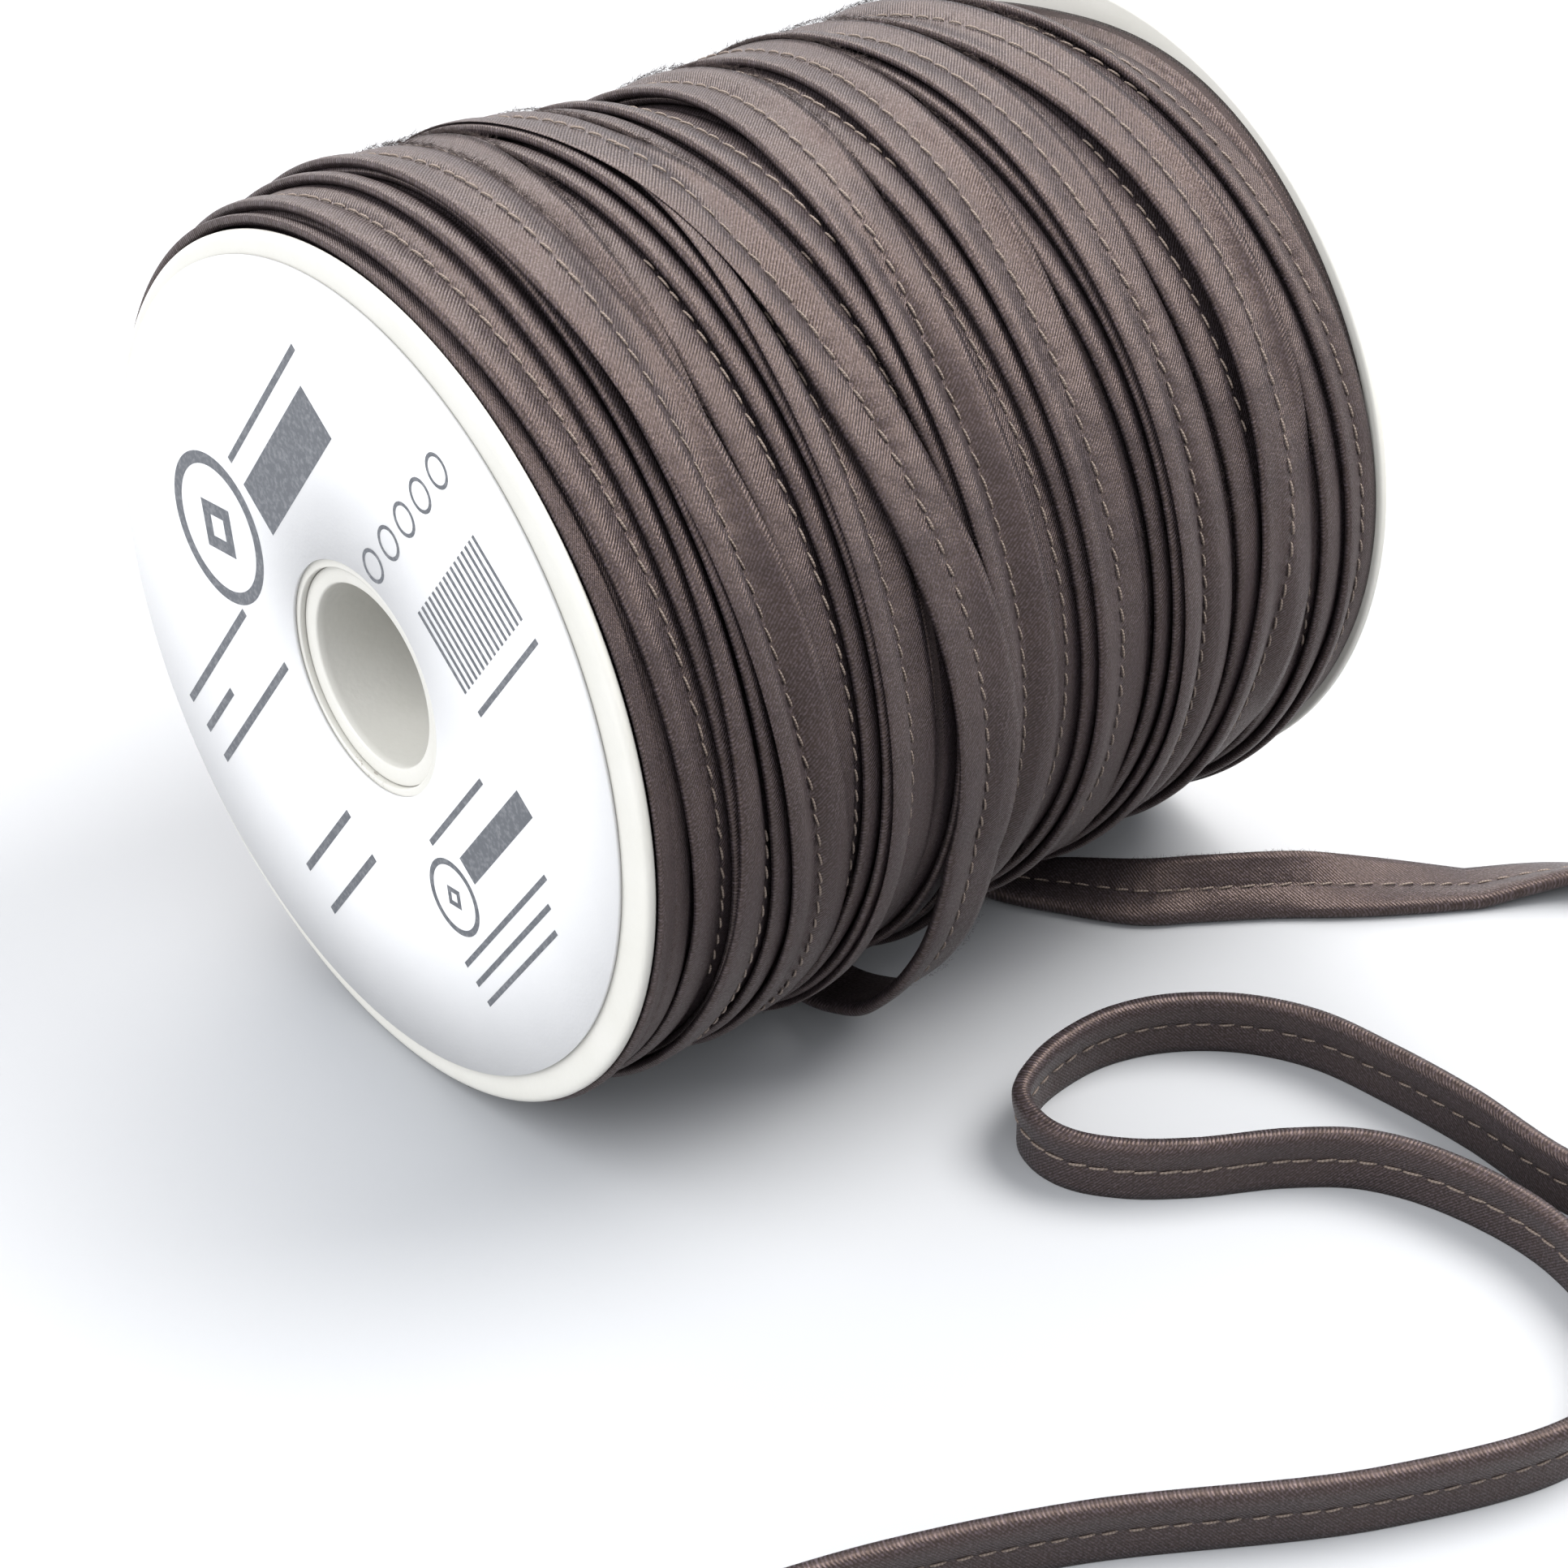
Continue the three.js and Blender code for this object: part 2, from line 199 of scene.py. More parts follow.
def free_section():
    """The section of free piping: the same on both sides of its middle."""
    upper = section_profile(BEAD, 2 * BEAD)
    half = upper[:, 1] / 2
    half[:3] = upper[:3, 1] - BEAD
    share = (upper[3:9, 0] - BEAD) / (SEAM - BEAD)
    half[3:9] = LIP / 2 + (BEAD - LIP / 2) * (1 - share**2)
    top = np.stack([upper[:, 0] - WIDTH / 2, half], 1)
    bottom = top[1:][::-1] * [1, -1]
    return np.concatenate([top, bottom])


# Stitches and frayed threads

STITCH_PITCH = 3.0
STITCH_LENGTH = 2.3
STITCH_SLANT = 7.0
SLANT_SPREAD = 2.5
THREAD_RADIUS = 0.17
THREAD_RISE = 0.26
STITCH_PATH = [
    # share of half the length, height over the seam, share of the thread's radius
    (-1.0, -0.4, 0.0),
    (-0.84, -0.06, 0.8),
    (-0.4, 0.05, 1.0),
    (0.4, 0.05, 1.0),
    (0.84, -0.06, 0.8),
    (1.0, -0.4, 0.0),
]

FIBRE_PATH = [
    # share of the length, height, radius
    (-0.1, 0.0, 0.0),
    (0.0, 0.0, 0.024),
    (0.55, 0.05, 0.018),
    (1.0, 0.25, 0.0),
]
FIBRE_LENGTHS = (0.2, 0.7)
FIBRE_BEND = 0.35


def add_stitches(name, places, along, out, material):
    """Sewn stitches with a slight slant, whose ends go down into the cloth."""
    slant = np.radians(rng.normal(STITCH_SLANT, SLANT_SPREAD, len(places)))[:, None]
    across = np.cross(out, along)
    turned = along * np.cos(slant) + across * np.sin(slant)
    across = np.cross(out, turned)
    reach = STITCH_LENGTH / 2
    centres = [(reach * share, 0, height) for share, height, _ in STITCH_PATH]
    radii = [THREAD_RADIUS * share for _, _, share in STITCH_PATH]
    shape, faces, uvs = tube_shape(centres, radii, 6)
    length = rng.normal(1.0, 0.06, (len(places), 1, 1))
    shape = np.broadcast_to(shape, (len(places), *shape.shape)) * np.concatenate(
        [length, np.ones_like(length), np.ones_like(length)], -1
    )
    return add_copies(name, shape, faces, uvs, places, turned, across, out, material)


def add_fibres(name, places, along, across, out, lengths, material):
    """Fine frayed threads that lean away from a raw edge."""
    count = len(places)
    lean = unit(
        along * rng.normal(0, 0.8, (count, 1))
        + across * rng.uniform(0.2, 1.0, (count, 1))
        + out * rng.normal(0.25, 0.5, (count, 1))
    )
    side = unit(np.cross(lean, out + 0.01))
    centres = [(share, 0, height) for share, height, _ in FIBRE_PATH]
    shape, faces, uvs = tube_shape(centres, [radius for _, _, radius in FIBRE_PATH], 3)
    shape = np.broadcast_to(shape, (count, *shape.shape)).copy()
    shape[..., 0] *= lengths[:, None]
    bend = rng.normal(0, FIBRE_BEND, (count, 1))
    shape[..., 1] += bend * lengths[:, None] * (shape[..., 0] / lengths[:, None]) ** 2
    return add_copies(name, shape, faces, uvs, places, lean, side, np.cross(lean, side), material)


# The loose end

LOOSE_END = [
    # x, y in metres in the row frame, and the tilt of the lip in degrees
    (0.0252, -0.0200, 0),
    (0.0273, -0.0270, 4),
    (0.0323, -0.0353, 20),
    (0.0376, -0.0438, 44),
    (0.0443, -0.0492, 58),
    (0.0540, -0.0556, 54),
    (0.0635, -0.0616, 28),
    (0.0775, -0.0702, -3),
    (0.0908, -0.0784, -25),
    (0.0998, -0.0876, -44),
    (0.1033, -0.1050, -80),
    (0.0993, -0.1300, -90),
    (0.0843, -0.1480, -90),
    (0.0613, -0.1520, -90),
    (0.0433, -0.1430, -90),
    (0.0363, -0.1270, -90),
    (0.0358, -0.1090, -90),
    (0.0343, -0.0960, -90),
    (0.0318, -0.0845, -90),
    (0.0263, -0.0755, -90),
    (0.0183, -0.0690, -90),
    (0.0103, -0.0660, -90),
    (0.0028, -0.0657, -90),
    (-0.0037, -0.0670, -90),
    (-0.0102, -0.0705, -90),
    (-0.0122, -0.0760, -90),
    (-0.0112, -0.0815, -90),
    (-0.0067, -0.0875, -90),
    (0.0003, -0.0930, -90),
    (0.0113, -0.0995, -90),
    (0.0188, -0.1060, -90),
    (0.0238, -0.1160, -90),
    (0.0258, -0.1320, -90),
    (0.0203, -0.1480, -90),
    (0.0103, -0.1565, -90),
    (0.0002, -0.1580, -90),
    (-0.0237, -0.1495, -90),
    (-0.0552, -0.1310, -90),
    (-0.0774, -0.1210, -90),
    (-0.0957, -0.1150, -90),
]
LOOSE_STEPS = 1000
LOOSE_FIBRES = 1500
LOOSE_THREAD_RISE = 0.16
BACK_THREAD_STRETCH = 1.28
EDGE_ON_FLOOR = -0.7


def smooth_route(rows, count):
    """Evenly spaced rows along a centripetal Catmull-Rom curve through the rows' first two columns."""
    rows = np.array(rows, float)
    knots = np.concatenate([[2 * rows[0] - rows[1]], rows, [2 * rows[-1] - rows[-2]]])
    steps = np.linalg.norm(np.diff(knots[:, :2], axis=0), axis=1) ** 0.5
    times = np.concatenate([[0], np.cumsum(steps)])
    fine = []
    for k in range(1, len(knots) - 2):
        t = np.linspace(times[k], times[k + 1], 60, endpoint=False)[:, None]
        t0, t1, t2, t3 = times[k - 1 : k + 3]
        p0, p1, p2, p3 = knots[k - 1 : k + 3]
        a1 = (t1 - t) / (t1 - t0) * p0 + (t - t0) / (t1 - t0) * p1
        a2 = (t2 - t) / (t2 - t1) * p1 + (t - t1) / (t2 - t1) * p2
        a3 = (t3 - t) / (t3 - t2) * p2 + (t - t2) / (t3 - t2) * p3
        b1 = (t2 - t) / (t2 - t0) * a1 + (t - t0) / (t2 - t0) * a2
        b2 = (t3 - t) / (t3 - t1) * a2 + (t - t1) / (t3 - t1) * a3
        fine.append((t2 - t) / (t2 - t1) * b1 + (t - t1) / (t2 - t1) * b2)
    fine = np.concatenate([*fine, rows[-1:]])
    reach = np.concatenate([[0], np.cumsum(np.linalg.norm(np.diff(fine[:, :2], axis=0), axis=1))])
    even = np.linspace(0, reach[-1], count)
    return np.stack([np.interp(even, reach, fine[:, k]) for k in range(fine.shape[1])], 1), even


def rest_height(tilt):
    """Height of the piping's middle when its lower edge lies on the floor at a tilt in radians."""
    on_bead = BEAD + (WIDTH / 2 - BEAD) * np.sin(tilt)
    on_lip = LIP / 2 * np.cos(tilt) - WIDTH / 2 * np.sin(tilt)
    return np.maximum(on_bead, on_lip)


def loose_end_frames(count):
    """Middle and three axes of the loose end at even steps: ahead, across and through the piping."""
    rows, reach = smooth_route(LOOSE_END, count)
    tilt = np.radians(rows[:, 2])
    middle = np.stack([rows[:, 0] / MM - FACE_AT, rows[:, 1] / MM, rest_height(tilt)], 1)
    ahead = np.gradient(middle, axis=0)
    ahead[:, 2] = 0
    ahead = unit(ahead)
    left = np.stack([-ahead[:, 1], ahead[:, 0], np.zeros(count)], 1)
    up = np.array([0.0, 0.0, 1.0])
    across = left * np.cos(tilt)[:, None] + up * np.sin(tilt)[:, None]
    return middle, ahead, across, np.cross(ahead, across), reach / MM


def add_loose_end(satin, thread):
    """The free end of the piping, with its seam's stitches and its frayed edge."""
    middle, ahead, across, through, reach = loose_end_frames(LOOSE_STEPS)
    section = free_section()
    grid = (
        middle[:, None]
        + across[:, None] * section[None, :, :1]
        + through[:, None] * section[None, :, 1:]
    )
    closed = np.zeros((1, len(section), 1))
    grid = np.concatenate([middle[:1, None] + closed, grid, middle[-1:, None] + closed])
    along = np.concatenate([reach[:1], reach, reach[-1:]])
    places = np.concatenate([section[:, 0] + WIDTH / 2, [0.0]])
    piece = add_grid("loose_end_piping", grid, along, places, satin)
    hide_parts("loose_end")

    at = np.arange(STITCH_PITCH, reach[-1] - 1.0, STITCH_PITCH)
    step = np.searchsorted(reach, at)
    seam_half = LIP / 2 - SEAM_DIP / 2
    for name, side, stretch in (
        ("loose_end_stitches", 1.0, 1.0),
        ("loose_end_back_thread", -1.0, BACK_THREAD_STRETCH),
    ):
        spots = middle[step] + through[step] * side * (seam_half + LOOSE_THREAD_RISE)
        sewn = add_stitches(name, spots, ahead[step] * stretch, through[step] * side, thread)

    step = rng.integers(0, LOOSE_STEPS, LOOSE_FIBRES)
    step = step[across[step][:, 2] > EDGE_ON_FLOOR]
    count = len(step)
    edge = middle[step] + across[step] * (WIDTH / 2 - EDGE_INSET)
    edge = edge + through[step] * rng.uniform(-0.3, 0.3, (count, 1))
    lengths = rng.uniform(*FIBRE_LENGTHS, count)
    frayed = add_fibres("loose_end_fray", edge, ahead[step], across[step], through[step], lengths, satin)


# The wound turns

TURN_ANGLES = [-15, 15, 45, 75, 105, 130]
TURNS = {
    # Where each turn's bead starts along the roll, at the six angles from the top towards the front
    1: [1.8, 1.8, 1.8, 1.8, 1.8, 1.8],
    2: [4.3, 3.4, 4.5, 5.8, 7.9, 7.6],
    3: [12.3, 11.4, 11.2, 12.2, 14.0, 14.0],
    4: [17.5, 16.0, 14.2, 13.3, 13.2, 11.5],
    5: [16.4, 15.2, 16.2, 18.7, 22.7, 23.2],
    6: [23.0, 18.5, 15.8, 17.0, 20.0, 20.0],
    7: [27.5, 27.6, 26.3, 27.4, 28.3, 29.0],
    8: [31.8, 32.6, 32.1, 33.2, 33.9, 33.0],
    9: [35.0, 36.1, 35.4, 35.5, 36.0, 36.0],
    10: [42.0, 38.4, 35.7, 35.9, 36.9, 36.5],
    11: [35.5, 39.5, 41.6, 47.0, 50.2, 49.5],
    12: [47.6, 47.7, 48.0, 49.0, 50.0, 50.0],
    13: [52.0, 52.5, 53.4, 54.5, 55.0, 55.0],
    14: [63.2, 59.1, 55.3, 55.9, 56.8, 56.5],
    15: [64.5, 62.8, 62.5, 64.1, 63.9, 62.0],
    16: [69.5, 68.9, 69.2, 71.0, 72.0, 71.0],
    17: [77.2, 74.2, 72.1, 72.8, 73.8, 73.0],
    18: [81.5, 82.0, 83.0, 84.8, 84.6, 82.0],
    19: [85.8, 86.5, 87.1, 87.0, 87.0, 86.0],
    20: [87.5, 88.6, 87.5, 87.7, 88.4, 87.5],
    21: [92.5, 91.8, 92.4, 93.7, 94.5, 93.0],
    22: [95.5, 96.9, 98.0, 99.5, 100.0, 99.0],
    23: [98.5, 101.7, 104.4, 104.2, 101.4, 102.0],
    24: [106.0, 109.7, 113.2, 114.7, 115.5, 115.0],
    25: [112.5, 115.0, 117.2, 119.5, 120.0, 118.0],
    26: [104.0, 105.0, 106.0, 106.8, 110.6, 114.0],
}
LAID_ORDER = [1, 2, 3, 4, 7, 8, 9, 6, 10, 12, 13, 15, 16, 18, 19, 21, 22, 26, 24, 25]
LAID_ORDER += [14, 17, 20, 23, 5, 11]
FRAYED_TURNS = [3, 4, 5, 6, 10, 11, 14, 17, 20, 23]
FIBRES_PER_TURN = 2200
SKYLINE = -20
SKYLINE_SPREAD = 30
SLACK = 11
FIRST_TURN_WIDTH = 5.6
FIRST_TURN_LIFT = 1.2
OUT_OF_VIEW = (130, 165)
BACK_IN_VIEW = (310, 345)
WANDERS = [
    # how far a turn strays out of view, how often around, and how that shifts from turn to turn
    (0.5, 2, 1.7),
    (0.3, 5, 2.9),
]

# Radius over the beads along the roll: x, on the upper back, on the lower front
SWELL_AXIS = math.radians(-42.6)
SWELL = np.array([
    [2, 61.2, 60.5],
    [7, 63.3, 61.1],
    [14, 64.9, 61.6],
    [25, 64.1, 62.0],
    [34, 63.4, 62.7],
    [42, 62.9, 61.8],
    [50, 61.9, 61.3],
    [60, 60.6, 61.2],
    [72, 61.2, 61.1],
    [86, 61.4, 61.1],
    [96, 60.4, 61.0],
    [106, 61.2, 60.9],
    [116, 60.6, 60.8],
    [126, 59.6, 60.3],
])
HOLLOW = {"x": 122.0, "length": 9.0, "angle": -12.0, "spread": 26.0, "depth": 4.2}
FLAT_RADIUS = 62.2
FLAT_HALF_ANGLE = 11.0
FLAT_FADE_ANGLE = 8.0
PROUD = 1.0
PRESSED = 0.78

# The slack turn's outer radius by angle, where it hangs off the roll
SLACK_ANGLES = [82, 90, 98, 107, 116, 125, 134, 142, 150, 157, 165, 173, 180]
SLACK_RADII = [57.4, 59.2, 60.8, 62.0, 63.8, 66.2, 68.1, 69.3, 67.5, 64.5, 61.0, 58.6, 57.4]

STEPS = 480
ANGLES = np.arange(STEPS) * 2 * math.pi / STEPS
AROUND = np.arange(STEPS + 1) * 2 * math.pi / STEPS * AXIS_HEIGHT
MAP_STEP = 0.25
MAP_X = np.arange(1.5, 126.6, MAP_STEP)
ACROSS = np.arange(0, WIDTH + 0.01, MAP_STEP)
INNER_PITCH = 5.2


def blurred(values, sigma, axis, wraps):
    """The values smoothed by a bell of sigma cells along one axis."""
    reach = max(1, int(3 * sigma))
    offsets = np.arange(-reach, reach + 1)
    weights = np.exp(-0.5 * (offsets / sigma) ** 2)
    weights /= weights.sum()
    pad = [(0, 0)] * values.ndim
    pad[axis] = (reach, reach)
    padded = np.pad(values, pad, mode="wrap" if wraps else "edge")
    size = values.shape[axis]
    pieces = (weights[k] * padded.take(range(k, k + size), axis) for k in range(2 * reach + 1))
    return sum(pieces)


def highest(values, reach, axis, wraps):
    """Each value replaced by the highest within reach cells along one axis."""
    pad = [(0, 0)] * values.ndim
    pad[axis] = (reach, reach)
    padded = np.pad(values, pad, mode="wrap" if wraps else "edge")
    size = values.shape[axis]
    return np.max([padded.take(range(k, k + size), axis) for k in range(2 * reach + 1)], axis=0)


def turn_path(number):
    """Where a turn's bead starts along the roll at each step, easing back behind the roll."""
    starts = TURNS[number]
    knots = np.radians([*TURN_ANGLES, 360 + TURN_ANGLES[0]])
    places = [*starts, starts[0]]
    around = (ANGLES - knots[0]) % (2 * math.pi) + knots[0]
    path = np.interp(around, knots, places)
    if number != 1:
        wander = sum(far * np.sin(often * ANGLES + shift * number) for far, often, shift in WANDERS)
        hidden = ease(around, *np.radians(OUT_OF_VIEW)) * (1 - ease(around, *np.radians(BACK_IN_VIEW)))
        path = path + wander * hidden
    return blurred(path, 12.0, 0, True)


def target_radius():
    """The radius that the beads' tops reach, at each step around and each place along the map."""
    upper = (1 + np.cos(ANGLES - SWELL_AXIS))[:, None] / 2
    over = np.interp(MAP_X, SWELL[:, 0], SWELL[:, 1])
    under = np.interp(MAP_X, SWELL[:, 0], SWELL[:, 2])
    over, under = (blurred(a, 12.0, 0, False) for a in (over, under))
    around = (np.degrees(ANGLES) - HOLLOW["angle"] + 180) % 360 - 180
    hollow = HOLLOW["depth"] * np.exp(-((around / HOLLOW["spread"]) ** 2))[:, None]
    hollow = hollow * ease(MAP_X, HOLLOW["x"] - HOLLOW["length"], HOLLOW["x"])
    radius = under + (over - under) * upper - hollow
    from_foot = np.abs(np.degrees(ANGLES) - 180) - FLAT_HALF_ANGLE
    pressed = (1 - ease(from_foot, 0, FLAT_FADE_ANGLE))[:, None]
    return radius + (FLAT_RADIUS - radius) * pressed


def read_map(heights, x):
    """The map's height at places along the roll, one row of places for each step around."""
    cell = np.clip((x - MAP_X[0]) / MAP_STEP, 0, len(MAP_X) - 1.001)
    low = cell.astype(int)
    share = cell - low
    rows = np.arange(len(x))[:, None]
    return heights[rows, low] * (1 - share) + heights[rows, low + 1] * share


def lay_turn(heights, start, width):
    """Underside of a turn laid over the map: its height at each step and each place across."""
    x = start[:, None] + ACROSS * width / WIDTH
    below = read_map(heights, x)
    rest = highest(highest(below, 4, 0, True), 3, 1, False)
    rest = blurred(blurred(rest, 5.0, 0, True), 3.0, 1, False)
    rest = np.maximum(rest, below + 0.02)
    return blurred(rest, 1.2, 0, True)


def bead_level(rest):
    """The height that the bead lies at: the highest of what is under it."""
    return rest[:, : int(2 * BEAD / MAP_STEP)].max(axis=1)


def rest_at(rest, across):
    """Height of a turn's underside at one place across."""
    cell = min(across / MAP_STEP, len(ACROSS) - 1.001)
    low = int(cell)
    return rest[:, low] * (1 - cell + low) + rest[:, low + 1] * (cell - low)


def top_at(rest, across):
    """Height of a turn's upper side at one place across, from its underside."""
    profile = section_profile(WOUND_FLANK, WOUND_HEIGHT)
    thickness = np.interp(across, profile[:, 0], profile[:, 1])
    column = rest_at(rest, across)
    over_bead = 1 - ease(across, WOUND_FLANK, SEAM)
    return column + thickness + (bead_level(rest) - column) * over_bead


def stack_turns(base):
    """Lays every turn over the base. Gives the map of the tops and each turn's start and underside."""
    heights = base.copy()
    laid = {}
    rows = np.arange(STEPS)[:, None]
    for number in LAID_ORDER:
        start = turn_path(number)
        width = FIRST_TURN_WIDTH if number == 1 else min(WIDTH, (MAP_X[-1] - start).min())
        rest = lay_turn(heights, start, width)
        if number == 1:
            rest = rest + FIRST_TURN_LIFT * (1 - ACROSS / WIDTH)
        laid[number] = (start, width, rest)
        if number == SLACK:
            continue
        top = np.stack([top_at(rest, across) for across in ACROSS], 1)
        place = (MAP_X[None, :] - start[:, None]) * WIDTH / width
        cell = np.clip(place / MAP_STEP, 0, len(ACROSS) - 1.001)
        low = cell.astype(int)
        value = top[rows, low] * (1 - (cell - low)) + top[rows, low + 1] * (cell - low)
        inside = (place >= 0) & (place <= WIDTH)
        heights = np.where(inside, np.maximum(heights, value), heights)
    return heights, laid


def inner_turns(level):
    """The map of the turns below: level on the whole, with a bead every few millimetres."""
    wander = 1.6 * np.sin(ANGLES + 0.6)[:, None] + 0.5 * np.sin(3 * ANGLES)[:, None]
    place = (MAP_X[None, :] + wander) % INNER_PITCH
    profile = section_profile(WOUND_FLANK, WOUND_HEIGHT)
    return level - WOUND_HEIGHT + np.interp(place, profile[:, 0], profile[:, 1])


def wind_roll():
    """Winds the roll so that its beads reach the target radius."""
    target = target_radius()
    first, _ = stack_turns(inner_turns(np.zeros((STEPS, len(MAP_X)))))
    ridge = highest(highest(first, 12, 1, False), 5, 0, True)
    ridge = blurred(blurred(ridge, 12.0, 1, False), 8.0, 0, True)
    base = inner_turns(target - ridge)
    tops, laid = stack_turns(base)
    return target, base, tops, laid


def pressed_radius(radius, x, target):
    """A radius as the turns press on each other: flatter, and hardly proud of the target anywhere."""
    goal = read_map(target, x[:, None])[:, 0]
    over = np.maximum(radius - goal, 0)
    return np.where(radius > goal, goal + over / (1 + over / PROUD), goal - (goal - radius) * PRESSED)


def on_roll(x, radius, floor_gap):
    """Points at a place along the roll and a radius for each step around, kept above the floor."""
    y = -radius * np.sin(ANGLES)
    z = np.maximum(AXIS_HEIGHT + radius * np.cos(ANGLES), floor_gap)
    return np.stack(np.broadcast_arrays(x, y, z), -1)


def hang(radius, height):
    """The slack turn's radius at a height over its underside, where it hangs off the roll."""
    loose = np.interp(np.degrees(ANGLES), SLACK_ANGLES, SLACK_RADII, left=0, right=0) - WOUND_HEIGHT
    inside = (np.degrees(ANGLES) > SLACK_ANGLES[0]) & (np.degrees(ANGLES) < SLACK_ANGLES[-1])
    loose = np.where(inside, blurred(loose, 2.0, 0, True), 0)
    return np.maximum(radius, loose + height)


def turn_surface(number, laid, target):
    """Points on a wound turn: a function of the place across, for its upper side or its underside."""
    start, width, rest = laid[number]
    profile = section_profile(WOUND_FLANK, WOUND_HEIGHT)
    clearance = 0.02 + 0.01 * (len(LAID_ORDER) - LAID_ORDER.index(number))

    def at(across, over):
        x = start + across * width / WIDTH
        height = np.interp(across, profile[:, 0], profile[:, 1]) if over else 0.0
        radius = top_at(rest, across) if over else rest_at(rest, across)
        if not over and across <= WOUND_FLANK:
            radius = bead_level(rest)
        radius = pressed_radius(radius, x, target)
        if number == SLACK:
            radius = hang(radius, height)
        return on_roll(x, radius, clearance + height)

    return at


def seam_places(number, laid, target, tops):
    """Where a turn's stitches show: their points, and the directions along the seam and outwards."""
    start, width, rest = laid[number]
    surface = turn_surface(number, laid, target)(SEAM, True)
    own = top_at(rest, SEAM)
    cover = read_map(tops, (start + SEAM * width / WIDTH)[:, None])[:, 0]
    shows = np.full(STEPS, True) if number == SLACK else cover < own + 0.45
    at = np.arange(0, AROUND[-1], STITCH_PITCH) + (number * 1.3) % STITCH_PITCH
    step = (at / AROUND[-1] * STEPS).astype(int) % STEPS
    step = step[shows[step]]
    along = unit(np.roll(surface, -2, 0) - np.roll(surface, 2, 0))
    out = np.stack([np.zeros(STEPS), -np.sin(ANGLES), np.cos(ANGLES)], 1)
    out = unit(out - along * (out * along).sum(1, keepdims=True))
    return surface[step] + out[step] * THREAD_RISE, along[step], out[step]


def edge_places(number, laid, target, tops, count):
    """Where a turn's raw edge shows: points on it, directions along, across and out, and angles."""
    start, width, rest = laid[number]
    surface = turn_surface(number, laid, target)
    edge = surface(WIDTH - EDGE_INSET, True)
    inner = surface(WIDTH - 1.5, True)
    own = top_at(rest, WIDTH - 0.3)
    cover = read_map(tops, (start + (WIDTH - 0.3) * width / WIDTH)[:, None])[:, 0]
    shows = np.full(STEPS, True) if number == SLACK else cover < own + 0.3
    along = unit(np.roll(edge, -2, 0) - np.roll(edge, 2, 0))
    across = unit(edge - inner)
    out = np.cross(across, along)
    near_top = rng.normal(SKYLINE, SKYLINE_SPREAD, count) / 360 * STEPS
    step = np.where(rng.random(count) < 0.5, near_top, rng.uniform(0, STEPS, count))
    step = step.astype(int) % STEPS
    step = step[shows[step]]
    share = rng.uniform(0, 1, (len(step), 1))
    places = edge[step] * (1 - share) + edge[(step + 1) % STEPS] * share
    places = places - out[step] * rng.uniform(0.1, 0.6, (len(step), 1))
    return places, along[step], across[step], out[step], ANGLES[step]


def add_winding(satin, thread):
    """The wound turns, one piece each, over the turns below, with stitches and frayed edges."""
    target, base, tops, laid = wind_roll()
    profile = section_profile(WOUND_FLANK, WOUND_HEIGHT)

    every = 4
    columns = range(0, len(MAP_X), every)
    pressed = [pressed_radius(base[:, k], np.full(STEPS, MAP_X[k]), target) for k in columns]
    walls = [on_roll(MAP_X[k], radius, 0.02) for k, radius in zip(columns, pressed)]
    hub = [on_roll(MAP_X[k], np.full(STEPS, HOLE_RADIUS), 0.0) for k in (columns[-1], columns[0])]
    core = np.stack(walls + hub, 1)[::2]
    places = np.concatenate([MAP_X[::every], [0.0, 0.0, 0.0]]) % INNER_PITCH
    piece = add_grid("inner_turns", core, AROUND[::2], places, satin, rings_close=True)
    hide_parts("winding")

    for number in LAID_ORDER:
        surface = turn_surface(number, laid, target)
        sides = [(across, True) for across in profile[:, 0]]
        sides += [(across, False) for across in (9.9, 6.5, 3.2, WOUND_FLANK)]
        grid = np.stack([surface(across, over) for across, over in sides], 1)
        places = np.array([across for across, _ in sides] + [0.0])
        name = "slack_turn" if number == SLACK else f"turn_{number:02d}"
        piece = add_grid(name, grid, AROUND, places, satin, rings_close=True)
        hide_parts("winding")

    sewn = [seam_places(number, laid, target, tops) for number in LAID_ORDER if number != 1]
    places, along, out = (np.concatenate(column) for column in zip(*sewn))
    add_stitches("turn_stitches", places, along, out, thread)

    frayed = [edge_places(number, laid, target, tops, FIBRES_PER_TURN) for number in FRAYED_TURNS]
    places, along, across, out, angle = (np.concatenate(column) for column in zip(*frayed))
    near_top = 1 - ease(np.abs((np.degrees(angle) - SKYLINE + 180) % 360 - 180), 15, 45)
    lengths = rng.uniform(*FIBRE_LENGTHS, len(places)) * (1 + 1.5 * near_top)
    piece = add_fibres("turn_fray", places, along, across, out, lengths, satin)


# The spool

HOLE_RADIUS = 15.35
FLANGE_THICKNESS = 1.5
RIM_RADIUS = 60.0
RIM_ROUNDING = 1.0
BORDER_RADIUS = 57.6
TUBE_RADIUS = 15.3
MOUTH_SINK = 0.15
BORE_RADIUS = 12.75
LATHE_STEPS = 256


def add_lathe(name, profile, material, node):
    """A turned piece from a closed profile of places along the axis and radii."""
    turn = np.arange(LATHE_STEPS) * 2 * math.pi / LATHE_STEPS
    x, radius = np.array(profile, float).T
    y = -np.sin(turn)[:, None] * radius
    z = AXIS_HEIGHT + np.cos(turn)[:, None] * radius
    grid = np.stack(np.broadcast_arrays(x, y, z), -1)
    along = np.arange(LATHE_STEPS + 1) / LATHE_STEPS * 2 * math.pi * radius.max()
    across = np.concatenate([[0], np.cumsum(np.hypot(np.diff(x), np.diff(radius)))])
    across = np.append(across, across[-1] + 1)
    piece = add_grid(name, grid, along, across, material, rings_close=True)
    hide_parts(node)
    return piece


